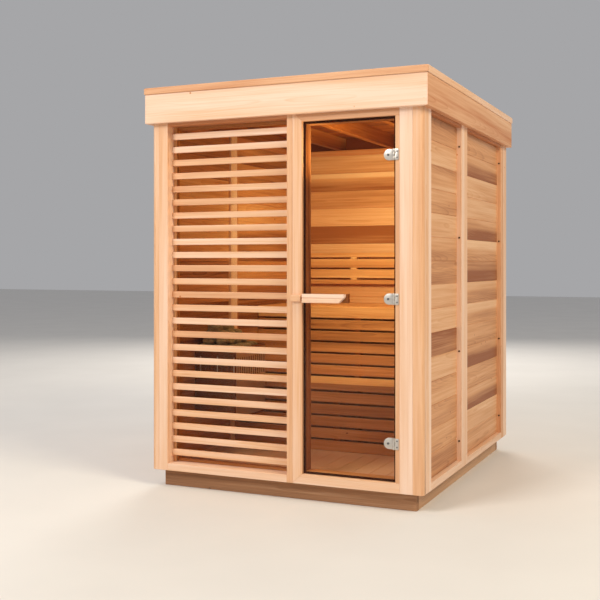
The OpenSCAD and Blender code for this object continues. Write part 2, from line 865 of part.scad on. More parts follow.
// One rough, split stone with a flat bed and a flat top
module stone(seed) {
    n = STONE_SIDES;
    bed_share = 0.9;
    corners = concat(stone_ring(seed, bed_share, 0), stone_ring(seed + 1, 1, stone_h / 2),
                     stone_ring(seed + 2, bed_share, stone_h));
    sides = [for (ring = [0, n], k = [0 : n - 1], half = [0, 1])
        half == 0 ? [ring + k, ring + n + k, ring + (k + 1) % n]
                  : [ring + (k + 1) % n, ring + n + k, ring + n + (k + 1) % n]];
    polyhedron(points = corners,
               faces = concat(sides, [[for (k = [0 : n - 1]) k]], [[for (k = [n - 1 : -1 : 0]) 2 * n + k]]));
}

// Stones in layers that narrow to the top, each lying on the flat tops of the layer below
module heater_stones() {
    pitch_x = (heater_d - 2 * heater_wall_t - stone_w - 2 * stone_clear) / 2;
    pitch_y = (heater_w - 2 * heater_wall_t - stone_w - 2 * stone_clear) / 4;
    color(STONE)
        for (layer = [0 : len(stone_layers) - 1],
             i = [0 : stone_layers[layer][0] - 1],
             j = [0 : stone_layers[layer][1] - 1])
            translate([heater_x0 + heater_d / 2 + (j - (stone_layers[layer][1] - 1) / 2) * pitch_x,
                       heater_y0 + heater_w / 2 + (i - (stone_layers[layer][0] - 1) / 2) * pitch_y,
                       heater_top - basket_depth + layer * (stone_h + stone_clear)])
                rotate([0, 0, 37 * i + 61 * j + 23 * layer])
                    stone(100 * layer + 10 * j + 3 * i);
}

base_cross_beams();
base_side_beams();
floor_joists();
floor_deck();
front_corner_posts();
front_stiles();
front_plates();
louver_slats();
louver_cleats();
window_glass();
window_beads();
door_jambs();
door_head_sill();
door_seal();
latch_keeper();
hinge_frame_leaves();
right_wall_studs();
right_wall_rails();
right_wall_boards();
left_wall_studs();
left_wall_rails();
left_wall_boards();
back_wall_studs();
back_wall_rails();
back_wall_boards();
roof_rafters();
roof_deck();
roof_covering();
fascia_front_rear();
fascia_sides();
roof_cap_front_rear();
roof_cap_sides();
lower_bench_boards();
upper_bench_boards();
bench_skirts();
bench_frames();
backrest_slats();
backrest_battens();
heater_body();
heater_bracket();
heater_stones();
door_glass();
hinge_glass_plates();
door_handles();
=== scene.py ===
"""Cube sauna: planed cedar, glass, steel and stone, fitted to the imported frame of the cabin.

Lengths are in metres, in the frame's own axes: X across the front, Y from the front to the back, Z up.
"""

import itertools
import json
import math
import random

import bmesh
import bpy
import numpy as np
from bpy.props import FloatProperty, FloatVectorProperty, IntProperty, PointerProperty
from mathutils import Euler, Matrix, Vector


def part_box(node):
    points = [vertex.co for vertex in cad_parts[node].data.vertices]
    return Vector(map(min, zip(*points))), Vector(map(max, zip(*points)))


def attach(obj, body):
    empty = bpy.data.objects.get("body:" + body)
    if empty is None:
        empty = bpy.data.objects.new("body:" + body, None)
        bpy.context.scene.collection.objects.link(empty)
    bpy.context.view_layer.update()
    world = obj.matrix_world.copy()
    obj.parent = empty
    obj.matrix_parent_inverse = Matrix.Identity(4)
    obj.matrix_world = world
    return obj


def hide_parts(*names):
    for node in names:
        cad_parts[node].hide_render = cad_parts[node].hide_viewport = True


bl_info = {
    "name": "Cube sauna",
    "version": (1, 0, 0),
    "blender": (4, 5, 0),
    "location": "View3D > Sidebar > Cube sauna",
    "description": "Finishes the cube sauna's frame with timber, glass, steel and stone",
    "category": "Object",
}

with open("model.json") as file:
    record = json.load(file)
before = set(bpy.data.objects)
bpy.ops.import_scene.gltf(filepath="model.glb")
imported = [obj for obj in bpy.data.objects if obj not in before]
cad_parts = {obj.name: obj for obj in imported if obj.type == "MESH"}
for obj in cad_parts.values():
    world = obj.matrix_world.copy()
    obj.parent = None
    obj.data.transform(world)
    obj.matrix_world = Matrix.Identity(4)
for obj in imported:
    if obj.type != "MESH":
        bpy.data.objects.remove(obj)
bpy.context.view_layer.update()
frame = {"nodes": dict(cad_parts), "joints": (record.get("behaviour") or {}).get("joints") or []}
CABIN, DOOR = "cabin", "door"
HINGE_AXIS = Vector(frame["joints"][0]["pos_m"])
ACROSS = {"X": (0, 1, 2), "Y": (1, 0, 2), "Z": (2, 0, 1)}
HINGE_PLATE = 0.004  # thickness of the hinges' plates
SLOT_FOOT, SLOT_HEIGHT = 0.234, 0.110  # the heater's air slots, above its lower edge

# Finish and slot of the pieces that share them
LIGHT = ("light cedar", "cedar_light")
INNER = ("inner cedar", "cedar")
BENCH = ("inner cedar", "cedar_dark")
WALL = ("cedar boards", "cedar")
ROOF = ("roof cedar", "cedar")
STEEL = ("stainless steel", "stainless")
BOLT = ("bolt steel", "stainless")
SEAL = ("seal rubber", "seal_rubber")
GLASS = ("glass", "clear_glass")

# Where each wood is used, and its colours for the tones below
WOODS = {
    "light cedar": ("the front frame", "F3D3BC", "E5B48A", "BF7848"),
    "cedar boards": ("the wall boards", "ECC096", "D59C6C", "97592F"),
    "inner cedar": ("the benches", "F0C088", "D2935B", "7C421A"),
    "roof cedar": ("the rafters and the ceiling", "D89450", "AC6428", "682C0C"),
    "treated timber": ("the base", "CDA582", "A07350", "6C472E"),
}
TONES = {"pale": "Palest grain", "base": "Middle tone", "deep": "Deepest grain"}

chance = random.Random(0)  # seeded anew for each group of pieces


def linear(code):
    """A colour's red, green and blue as linear numbers, from its hexadecimal code."""
    parts = [int(code[i : i + 2], 16) / 255 for i in (0, 2, 4)]
    return tuple(c / 12.92 if c <= 0.04045 else ((c + 0.055) / 1.055) ** 2.4 for c in parts)


def colour(name, code, description):
    return FloatVectorProperty(
        name=name, description=description, default=linear(code), size=3, min=0, max=1, subtype="COLOR"
    )


def length(name, default, description):
    return FloatProperty(
        name=name, description=description, default=default, min=0, unit="LENGTH", subtype="DISTANCE"
    )


def wood_property(wood, tone):
    return f"{wood} {tone}".replace(" ", "_")


class TimberSettings(bpy.types.PropertyGroup):
    ease: length("Eased edge", 0.0018, "Radius of the planed edges")
    groove: length("Board groove", 0.003, "Depth and half width of the groove between two boards")
    wall_boards: IntProperty(name="Wall boards", description="Boards up each wall", default=15, min=5, max=30)
    ceiling_board: length("Ceiling board", 0.0963, "Width of one ceiling board")
    floor_board: length("Floor board", 0.0955, "Width of one floor board")
    ring: length("Growth ring", 0.0042, "Spacing of the growth rings")
    seed: IntProperty(name="Seed", description="Sorting of the boards' tones", default=11, min=0)


TimberSettings.__annotations__.update(
    {
        wood_property(wood, tone): colour(f"{wood.capitalize()}, {tone}", code, f"{grain} of {used_in}")
        for wood, (used_in, *codes) in WOODS.items()
        for (tone, grain), code in zip(TONES.items(), codes, strict=True)
    }
)


class FittingSettings(bpy.types.PropertyGroup):
    glass_tint: colour("Glass tint", "F5EDE4", "Colour that the glass lets through")
    steel: colour("Stainless steel", "D8D3CC", "Colour of the hinges and screws")
    bolt: colour("Hinge bolts", "77787A", "Colour of the bolts and screws in the hinges")
    # The screws' dark colour is partly painted shade in their countersinks.
    screw: colour("Screws", "4A3526", "Colour of the coated wood screws")
    seal: colour("Seal", "38180A", "Colour of the door seal")
    housing: colour("Heater housing", "6B3D12", "Colour of the heater's painted steel")
    stone_pale: colour("Heater stone, pale", "B9AC86", "Palest part of the heater stones")
    stone_deep: colour("Heater stone, deep", "6A6044", "Deepest part of the heater stones")
    roofing: colour("Roofing", "4B4743", "Colour of the roof membrane")
    screw_head: length("Screw head", 0.0050, "Radius of the screw heads")


class StageSettings(bpy.types.PropertyGroup):
    lens: FloatProperty(
        name="Lens", description="Focal length of the camera in millimetres", default=58.24, min=1
    )
    shift: FloatProperty(name="Shift", description="Vertical shift of the camera's view", default=-0.0616)
    turn: FloatProperty(
        name="Turn",
        description="Camera's turn from straight ahead",
        default=math.radians(24.155),
        subtype="ANGLE",
    )
    place: FloatVectorProperty(
        name="Camera place",
        description="Where the camera stands",
        default=(2.120, -5.387, 1.205),
        subtype="XYZ",
    )
    floor: colour("Floor", "E2E0DD", "Colour of the studio floor")
    sky: colour("Surroundings", "EDEDF0", "Colour of the studio's even light")


# ---- Shader nodes


class Shader:
    """A material under construction: adds nodes and links them."""

    def __init__(self, name):
        self.material = bpy.data.materials.new(name)
        self.material.use_nodes = True
        self.tree = self.material.node_tree
        self.surface = self.tree.nodes["Principled BSDF"]

    def set(self, node, socket, value):
        if isinstance(value, bpy.types.NodeSocket):
            self.tree.links.new(value, node.inputs[socket])
        else:
            node.inputs[socket].default_value = value

    def add(self, kind, inputs, **settings):
        node = self.tree.nodes.new("ShaderNode" + kind)
        for name, value in settings.items():
            setattr(node, name, value)
        for socket, value in inputs.items():
            self.set(node, socket, value)
        return node

    def math(self, operation, *values):
        return self.add("Math", dict(enumerate(values)), operation=operation).outputs[0]

    def mul_add(self, value, factor, plus=0.0):
        return self.math("MULTIPLY_ADD", value, factor, plus)

    def vector(self, operation, *values):
        return self.add("VectorMath", dict(enumerate(values)), operation=operation).outputs[0]

    def parts(self, vector):
        return self.add("SeparateXYZ", {0: vector}).outputs

    def noise(self, scale, detail=2.0, roughness=0.5, vector=None):
        """Noise at one scale, or at one for each axis."""
        if vector is None:
            vector = self.place()
        if isinstance(scale, tuple):
            vector, scale = self.vector("MULTIPLY", vector, scale), 1.0
        inputs = {"Vector": vector, "Scale": scale, "Detail": detail, "Roughness": roughness}
        return self.add("TexNoise", inputs).outputs["Fac"]

    def cells(self, vector, scale):
        return self.add("TexVoronoi", {"Vector": vector, "Scale": scale}).outputs["Distance"]

    def ramp(self, factor, *stops):
        """Colours at places from 0 to 1. A plain number stands for a grey."""
        node = self.add("ValToRGB", {"Fac": factor})
        points = node.color_ramp.elements
        while len(points) < len(stops):
            points.new(0.5)
        for point, (place, shade) in zip(points, stops, strict=True):
            point.position = place
            point.color = (shade, shade, shade, 1) if isinstance(shade, float) else (*shade, 1)
        return node.outputs["Color"]

    def attribute(self, name):
        return self.add("Attribute", {}, attribute_name=name).outputs["Vector"]

    def place(self):
        return self.add("TexCoord", {}).outputs["Object"]

    def finish(self, shade, roughness, height, strength, distance):
        """Gives the surface its colour, roughness and bump."""
        bump = self.add("Bump", {"Strength": strength, "Distance": distance, "Height": height})
        self.set(self.surface, "Base Color", shade)
        self.set(self.surface, "Roughness", roughness)
        self.set(self.surface, "Normal", bump.outputs["Normal"])
        return self.material


def dimmed(tint, factor):
    """A colour times a factor. Past 1 it comes out brighter."""
    return tuple(factor * c for c in tint)


def timber(name, pale, base, deep, ring, rough=0.0):
    """Planed timber. Each point knows its place in its board and the board's own numbers."""
    s = Shader(name)
    grain, board = s.attribute("grain"), s.attribute("board")
    along, across, through = s.parts(grain)
    tone, side, heart = s.parts(board)
    spot = s.vector("MULTIPLY_ADD", board, (31.0, 47.0, 59.0), grain)
    broad = s.noise((0.8, 13.0, 13.0), 3, vector=spot)
    streak = s.noise((1.7, 80.0, 80.0), 3, vector=spot)
    fibre = s.noise((11.0, 750.0, 750.0), vector=spot)
    wander = s.noise((1.1, 4.0, 4.0), vector=spot)

    # The growth rings lie round a heart beside and below the board
    beside = s.math("ADD", across, s.mul_add(side, 0.16, -0.08))
    slope = s.math("MULTIPLY", along, s.mul_add(side, 0.05, -0.025))
    below = s.math("ADD", through, s.mul_add(heart, 0.10, s.math("ADD", slope, 0.03)))
    squares = s.math("ADD", s.math("POWER", beside, 2.0), s.math("POWER", below, 2.0))
    radius = s.math("POWER", squares, 0.5)
    rings = s.math("FRACT", s.math("DIVIDE", s.mul_add(wander, 0.035, radius), ring))
    late_wood = s.ramp(rings, (0.0, 0.0), (0.7, 0.35), (0.92, 1.0), (1.0, 0.0))

    # Each board grows darker towards one edge. A side number near 1 turns its upper part into pale sapwood
    # with a ragged lower edge, and past 1 that part is narrower and stands out more
    lean = s.math("MULTIPLY", across, s.mul_add(side, -4.0, 2.0))
    sapwood = s.math("MINIMUM", s.math("MAXIMUM", s.mul_add(side, 10.0, -9.0), 0.0), 1.0)
    contrast = s.math("MAXIMUM", side, 1.0)
    ragged = s.mul_add(streak, 4.0, s.mul_add(wander, 3.0, s.mul_add(contrast, -2.0, -2.3)))
    edge = s.math("TANH", s.mul_add(across, 95.0, ragged))
    lean = s.mul_add(s.math("MULTIPLY", s.math("MULTIPLY", sapwood, contrast), edge), -0.19, lean)
    knot = s.ramp(s.cells(spot, 7.0), (0.0, 1.0), (0.030, 1.0), (0.045, 0.0), (1.0, 0.0))
    lean = s.mul_add(knot, 0.7, lean)

    shade = s.math("ADD", tone, lean)
    layers = ((broad, 0.90, 0.45), (streak, 0.60, 0.30), (late_wood, 0.17, 0.05), (fibre, 0.16, 0.08))
    for detail, weight, middle in layers:
        shade = s.mul_add(detail, weight, s.math("ADD", shade, -middle))
    tint = s.ramp(shade, (0.0, pale), (0.45, base), (1.0, deep))
    roughness, height = s.mul_add(streak, 0.22, 0.46 + rough), s.mul_add(late_wood, 0.5, fibre)
    return s.finish(tint, roughness, height, 0.25 + rough, 0.0005 + 0.002 * rough)


def glass(name, tint):
    """Clear sheet glass: it lets light straight through and mirrors more at a glancing angle."""
    s = Shader(name)
    clear = s.add("BsdfTransparent", {"Color": (*tint, 1)}).outputs[0]
    smear = s.mul_add(s.noise(6.0, 4), 0.06)
    mirror = s.add("BsdfGlossy", {"Color": (1, 1, 1, 1), "Roughness": smear}).outputs[0]
    glance = s.math("POWER", s.add("LayerWeight", {"Blend": 0.5}).outputs["Facing"], 5.0)
    share = s.mul_add(glance, 0.9, 0.009)
    mixed = s.add("MixShader", {0: share, 1: clear, 2: mirror}).outputs[0]
    s.tree.nodes.remove(s.surface)
    s.set(s.tree.nodes["Material Output"], "Surface", mixed)
    return s.material


def brushed_steel(name, tint):
    s = Shader(name)
    brush = s.noise((60.0, 60.0, 1800.0), 3)
    smudge = s.noise(40.0)
    s.surface.inputs["Metallic"].default_value = 1.0
    shade = s.ramp(brush, (0.2, dimmed(tint, 0.85)), (0.8, tint))
    return s.finish(shade, s.mul_add(smudge, 0.18, s.mul_add(brush, 0.14, 0.30)), brush, 0.12, 0.0002)


def rubber(name, tint):
    s = Shader(name)
    dust = s.noise(90.0, 4)
    s.surface.inputs["Specular IOR Level"].default_value = 0.2
    shade = s.ramp(dust, (0.35, tint), (0.9, dimmed(tint, 1.6)))
    return s.finish(shade, s.mul_add(dust, 0.2, 0.7), s.noise(900.0), 0.15, 0.0003)


def painted_steel(name, tint):
    s = Shader(name)
    orange_peel = s.noise(700.0)
    heat = s.noise(7.0, 3)
    warm = tuple(a * b for a, b in zip(tint, (1.5, 1.3, 1.15)))
    shade = s.ramp(heat, (0.3, tint), (0.75, warm))
    return s.finish(shade, s.mul_add(heat, 0.2, 0.35), orange_peel, 0.2, 0.0003)


def split_stone(name, pale, deep):
    s = Shader(name)
    patch = s.noise(22.0, 6, 0.65)
    speck = s.cells(s.place(), 420.0)
    shade = s.mul_add(speck, 0.35, s.math("ADD", patch, -0.12))
    height = s.mul_add(speck, 0.4, s.noise(130.0, 6))
    return s.finish(s.ramp(shade, (0.3, deep), (0.7, pale)), 0.88, height, 0.7, 0.003)


def membrane(name, tint):
    s = Shader(name)
    dust = s.noise(9.0, 8)
    weave = s.noise(800.0, 1)
    shade = s.ramp(dust, (0.35, tint), (0.75, dimmed(tint, 1.5)))
    return s.finish(shade, s.mul_add(dust, 0.25, 0.6), s.mul_add(dust, 0.6, weave), 0.3, 0.0008)


def material(name):
    """The material of one finish, made the first time that it is asked for."""
    if name in bpy.data.materials:
        return bpy.data.materials[name]
    t, f = bpy.context.scene.sauna_timber, bpy.context.scene.sauna_fittings
    if name in WOODS:
        tones = (getattr(t, wood_property(name, tone)) for tone in TONES)
        return timber(name, *tones, t.ring, rough=0.25 if name == "treated timber" else 0.0)
    makers = {
        "glass": (glass, f.glass_tint),
        "stainless steel": (brushed_steel, f.steel),
        "bolt steel": (brushed_steel, f.bolt),
        "coated screw": (brushed_steel, f.screw),
        "seal rubber": (rubber, f.seal),
        "heater paint": (painted_steel, f.housing),
        "heater stone": (split_stone, f.stone_pale, f.stone_deep),
        "roof membrane": (membrane, f.roofing),
    }
    maker, *values = makers[name]
    return maker(name, *values)


# ---- Shapes


def deselect():
    bpy.ops.object.select_all(action="DESELECT")


def pick(*objs):
    """Selects only these objects and makes the first one active."""
    deselect()
    for obj in objs:
        obj.select_set(True)
    bpy.context.view_layer.objects.active = objs[0]


def join(parts):
    pick(*parts)
    if len(parts) > 1:
        bpy.ops.object.join()
    return parts[0]


def edit(obj):
    """Opens one object in edit mode, with nothing in it selected, and gives its mesh to select in."""
    pick(obj)
    bpy.ops.object.mode_set(mode="EDIT")
    bpy.ops.mesh.select_all(action="DESELECT")
    return bmesh.from_edit_mesh(obj.data)


def edit_faces(obj, wanted):
    """Opens one object in edit mode, with the faces selected for which wanted(normal) is true."""
    mesh = edit(obj)
    bpy.ops.mesh.select_mode(type="FACE")
    for face in mesh.faces:
        face.select_set(wanted(face.normal))
    bmesh.update_edit_mesh(obj.data)


def leave_edit():
    bpy.ops.object.mode_set(mode="OBJECT")


def settle():
    """Moves the new object's place into its mesh, so that the object stands at the origin."""
    bpy.ops.object.transform_apply(location=True, rotation=True, scale=True)
    return bpy.context.object


def add_block(low, high):
    deselect()
    low, high = Vector(low), Vector(high)
    bpy.ops.mesh.primitive_cube_add(size=1, location=(low + high) / 2, scale=high - low)
    return settle()


def add_rod(centre, radius, depth, axis="Z", sides=24):
    """A rod that stands upright, or lies from front to back if its axis is Y."""
    turn = (math.pi / 2 if axis == "Y" else 0, 0, 0)
    deselect()
    bpy.ops.mesh.primitive_cylinder_add(
        vertices=sides, radius=radius, depth=depth, location=centre, rotation=turn
    )
    return settle()


def bevel_edges(obj, radius, segments, wanted):
    """Rounds the edges for which wanted(first end, second end) is true."""
    mesh = edit(obj)
    bpy.ops.mesh.select_mode(type="EDGE")
    for e in mesh.edges:
        e.select_set(wanted(e.verts[0].co, e.verts[1].co))
    bmesh.update_edit_mesh(obj.data)
    bpy.ops.mesh.bevel(offset=radius, segments=segments, affect="EDGES", clamp_overlap=True)
    leave_edit()
    return obj


def runs_along(axis, **place):
    """True for an edge along this axis, and at this x or y where one is given."""
    others = ACROSS[axis][1:]
    return lambda a, b: all(abs(a[i] - b[i]) < 1e-5 for i in others) and all(
        abs(getattr(a, name) - value) < 1e-4 for name, value in place.items()
    )


def ease(obj, radius=None, segments=2):
    """Takes the sharpness off every edge of a flat-sided shape."""
    radius = bpy.context.scene.sauna_timber.ease if radius is None else radius
    return bevel_edges(obj, radius, segments, lambda a, b: True)


def modify(obj, kind, **settings):
    """Adds one modifier with these settings and applies it."""
    pick(obj)
    bpy.ops.object.modifier_add(type=kind)
    modifier = obj.modifiers[-1]
    for name, value in settings.items():
        setattr(modifier, name, value)
    bpy.ops.object.modifier_apply(modifier=modifier.name)
    return obj


def ease_sharp(obj, radius, segments=2):
    """Eases only the edges that are sharper than 30 degrees."""
    limit = math.radians(30)
    return modify(obj, "BEVEL", width=radius, segments=segments, limit_method="ANGLE", angle_limit=limit)


def cut(obj, cutter):
    modify(obj, "BOOLEAN", operation="DIFFERENCE", object=cutter, solver="EXACT")
    bpy.data.objects.remove(cutter)
    return obj


def slice_off(obj, point, normal):
    """Cuts away what lies beyond a plane, on the side that its normal points to."""
    edit(obj)
    bpy.ops.mesh.select_all(action="SELECT")
    bpy.ops.mesh.bisect(plane_co=point, plane_no=normal, use_fill=True, clear_outer=True)
    leave_edit()
    return obj


def smooth(obj, degrees=35):
    pick(obj)
    bpy.ops.object.shade_smooth_by_angle(angle=math.radians(degrees))
    return obj


def polish(obj, radius, segments=2, degrees=35):
    """Eases the sharp edges and shades the rest smooth."""
    return smooth(ease_sharp(obj, radius, segments), degrees)


def mark_grain(obj, grain, tone):
    """Stores each point's place along, across and through its board, and the board's own three numbers.

    These are its tone, its side number and how deep its heart lies. A tone may bring its side number.
    """
    mesh = obj.data
    places = np.empty(len(mesh.vertices) * 3, np.float32)
    mesh.vertices.foreach_get("co", places)
    places = places.reshape(-1, 3)
    size = places.max(0) - places.min(0)
    first, second, third = ACROSS[grain]
    order = (first, second, third) if size[second] >= size[third] else (first, third, second)
    local = (places - (places.max(0) + places.min(0)) / 2)[:, order]
    tone, side = tone if isinstance(tone, tuple) else (tone, chance.random())
    numbers = np.tile(np.array([tone, side, chance.random()], np.float32), (len(places), 1))
    for name, values in (("grain", local), ("board", numbers)):
        mesh.attributes.new(name, "FLOAT_VECTOR", "POINT").data.foreach_set("vector", values.ravel())
    return obj


def add_board(low, high, grain, tone, radius=None):
    """A planed board with eased edges."""
    return mark_grain(ease(add_block(low, high), radius), grain, tone)


def solids(node):
    """The lowest and highest corner of each separate solid of a CAD node, from the lowest up."""
    mesh = frame["nodes"][node].data
    keys = [tuple(round(c, 5) for c in v.co) for v in mesh.vertices]
    home = {key: key for key in keys}

    def root(key):
        while home[key] != key:
            key = home[key]
        return key

    for face in mesh.polygons:
        first, *others = (keys[i] for i in face.vertices)
        for other in others:
            home[root(other)] = root(first)
    groups = {}
    for key in home:
        groups.setdefault(root(key), []).append(key)
    boxes = [tuple(Vector(map(end, zip(*points))) for end in (min, max)) for points in groups.values()]
    return sorted(boxes, key=lambda box: (round(box[0].z, 4), round(box[0].y, 4), round(box[0].x, 4)))


def boards_of(node, grain, tones, radius=None):
    """One eased board for each solid of a CAD node, each with the next of the tones."""
    tones = iter(tones)
    return [add_board(low, high, grain, next(tones), radius) for low, high in solids(node)]


def clad(low, high, grain, across, count, tones):
    """A field of like boards side by side between two corners, from the far end of the axis named across.

    Only their long edges are chamfered, so that they meet in grooves.
    """
    chamfer = bpy.context.scene.sauna_timber.groove
    axis = "XYZ".index(across)
    pitch = (high[axis] - low[axis]) / count
    made = []
    for i, tone in zip(range(count), tones):
        first, last = Vector(low), Vector(high)
        last[axis] = high[axis] - i * pitch
        first[axis] = max(low[axis], last[axis] - pitch)
        board = bevel_edges(add_block(first, last), chamfer, 1, runs_along(grain))
        made.append(mark_grain(board, grain, tone))
    return made


def finish_piece(name, parts, finish, slot, nodes=(), body=CABIN):
    """Joins the parts under one name and finish, on a body and in place of their CAD nodes."""
    piece = join(parts)
    piece.name = piece.data.name = name
    piece.data.materials.clear()
    piece.data.materials.append(material(finish))
    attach(piece, body)
    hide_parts(*nodes)


def lay(name, node, grain, tones, finish, slot, radius=None):
    """A piece made of one eased board for each solid of a CAD node."""
    finish_piece(name, boards_of(node, grain, tones, radius), finish, slot, [node])


def add_screw(centre, facing, radius):
    """A screw head with a round recess, standing out of a face to the front (-1) or to the back (1)."""
    depth = radius / 2
    head = add_rod(Vector(centre) + Vector((0, facing * depth / 2, 0)), radius, depth, "Y", sides=16)
    edit_faces(head, lambda normal: normal.y * facing > 0.9)
    for width, rise in ((0.22, 0.12), (0.28, 0.0), (0.03, -0.35)):
        bpy.ops.mesh.inset(thickness=radius * width, depth=radius * rise)
    leave_edit()
    return smooth(head, 40)


def seed_chance(name):
    """Seeds the draws for one group of pieces, so that each run gives the same boards."""
    chance.seed(f"{bpy.context.scene.sauna_timber.seed} {name}")


def tones_between(low, high):
    """Tones drawn at random, as many as are asked for."""
    while True:
        yield chance.uniform(low, high)


def sorted_tones(pattern, shift=0.0):
    """The tones of a row of boards, by letter: l light, m middle, n brown, d dark, x darkest.

    A capital letter has a darker lower edge, and s is a middle board with a pale upper edge.
    """
    shades = {"l": 0.24, "m": 0.42, "s": 0.42, "n": 0.60, "d": 0.80, "x": 1.08}
    dark_lower_edge, pale_upper_edge = 1.0, 1.75
    for letter in itertools.cycle(pattern):
        shade = shades[letter.lower()] + shift
        if letter == "s":
            yield shade, pale_upper_edge
        else:
            yield (shade, dark_lower_edge) if letter.isupper() else shade


# ---- Operators, one for each group of pieces


class SaunaOperator(bpy.types.Operator):
    """Shared options of the sauna's operators."""

    bl_options = {"REGISTER", "UNDO"}


class SAUNA_OT_base(SaunaOperator):
    """Lay the treated base beams and floor joists"""

    bl_idname = "sauna.base"
    bl_label = "Base timbers"

    def execute(self, context):
        for node, grain, lightest, darkest in (
            ("base_cross_beams", "X", 0.4, 0.55),
            # The side beams' pale tones are painted light that makes up for the shade under the walls.
            ("base_side_beams", "Y", 0.0, 0.1),
            ("floor_joists", "X", 0.35, 0.6),
        ):
            seed_chance(node)
            tones = tones_between(lightest, darkest)
            lay(f"{node}_timber", node, grain, tones, "treated timber", "treated_timber", radius=0.003)
        return {"FINISHED"}


class SAUNA_OT_floor(SaunaOperator):
    """Lay the floor boards from front to back"""

    bl_idname = "sauna.floor"
    bl_label = "Floor boards"

    def execute(self, context):
        seed_chance("floor")
        low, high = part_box("floor_deck")
        count = round((high.x - low.x) / context.scene.sauna_timber.floor_board)
        parts = clad(low, high, "Y", "X", count, tones_between(-0.3, -0.1))
        finish_piece("floor_boards", parts, "light cedar", "cedar", ["floor_deck"])
        return {"FINISHED"}


def open_joint(back, seam, low, high):
    """Slants the face of a post's back part, to open the joint downwards, and puts a dark strip of painted
    shadow in it.
    """
    opening, reach, inset, lift = 0.013, 1.1, 0.003, 0.002
    foot = (0, seam + opening, low.z)
    slice_off(back, foot, (0, -reach, -opening))
    last = (high.x - inset, seam + opening, low.z + 0.95 * reach)
    strip = add_block((low.x + inset, seam, low.z + lift), last)
    slice_off(strip, foot, (0, reach, opening))
    return ease_sharp(strip, 0.0002, 1)


class SAUNA_OT_front_frame(SaunaOperator):
    """Stand the corner posts with their open joint, the stiles and the plates of the front wall"""

    bl_idname = "sauna.front_frame"
    bl_label = "Front frame"

    def execute(self, context):
        seed_chance("front frame")
        trim_depth, rounding = 0.022, 0.02
        posts, shadow_strips = [], []
        for low, high in solids("front_corner_posts"):
            on_right = low.x > 0
            seam = low.y + trim_depth
            trim = add_block(low, (high.x, seam, high.z))
            bevel_edges(trim, rounding, 8, runs_along("Z", x=high.x if on_right else low.x, y=low.y))
            ease_sharp(trim, context.scene.sauna_timber.ease)
            modify(smooth(trim, 25), "WEIGHTED_NORMAL", keep_sharp=True)
            posts.append(mark_grain(trim, "Z", 0.45))
            back = add_block((low.x, seam, low.z), high)
            if on_right:
                shadow_strips.append(open_joint(back, seam, low, high))
            posts.append(mark_grain(ease(back, 0.003), "Z", 0.3))
        finish_piece("corner_posts", posts, *LIGHT, ["front_corner_posts"])
        # The dark strip in the right post's open joint is painted shadow.
        finish_piece("corner_joint_strip", shadow_strips, *SEAL)
        lay("front_wall_stiles", "front_stiles", "Z", (0.26, 0.5, 0.1), *LIGHT)
        # The top plate's dark tone, 0.8, is painted shade under the fascia.
        lay("front_wall_plates", "front_plates", "X", (0.2, 0.8), *LIGHT)
        return {"FINISHED"}


class SAUNA_OT_louvres(SaunaOperator):
    """Fit the louvre slats, their cleats, and the pane with its beads"""

    bl_idname = "sauna.louvres"
    bl_label = "Louvred window"

    def execute(self, context):
        seed_chance("louvres")
        tones = sorted_tones("mmmmmlmlmnlmnmmllnmnmnnll")
        lay("louvre_slats", "louver_slats", "X", tones, *LIGHT, radius=0.0025)
        lay("louvre_cleats", "louver_cleats", "Z", tones_between(0.3, 0.4), *INNER, radius=0.0012)
        pane = ease(add_block(*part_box("window_glass")), 0.0008, 1)
        finish_piece("window_pane", [pane], *GLASS, ["window_glass"])
        low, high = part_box("window_beads")
        bead = 0.018
        left, right, foot, top = low.x + bead, high.x - bead, low.z + bead, high.z - bead
        beads = [
            add_board(low, (left, high.y, high.z), "Z", 0.4),
            add_board((right, low.y, low.z), high, "Z", 0.35),
            add_board((left, low.y, low.z), (right, high.y, foot), "X", 0.45),
            add_board((left, low.y, top), (right, high.y, high.z), "X", 0.3),
        ]
        finish_piece("window_bead_frame", beads, *INNER, ["window_beads"])
        return {"FINISHED"}


def door_seal(low, high, width):
    ring = add_block(low, high)
    edit_faces(ring, lambda normal: abs(normal.y) > 0.9)
    bpy.ops.mesh.inset(thickness=width)
    bpy.ops.mesh.bridge_edge_loops()
    leave_edit()
    return polish(ring, 0.0015, segments=3, degrees=50)


def door_keeper():
    low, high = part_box("latch_keeper")
    block = bevel_edges(add_block(low, high), 0.011, 6, runs_along("Y", x=low.x))
    return mark_grain(ease_sharp(block, 0.0015), "X", 0.45)


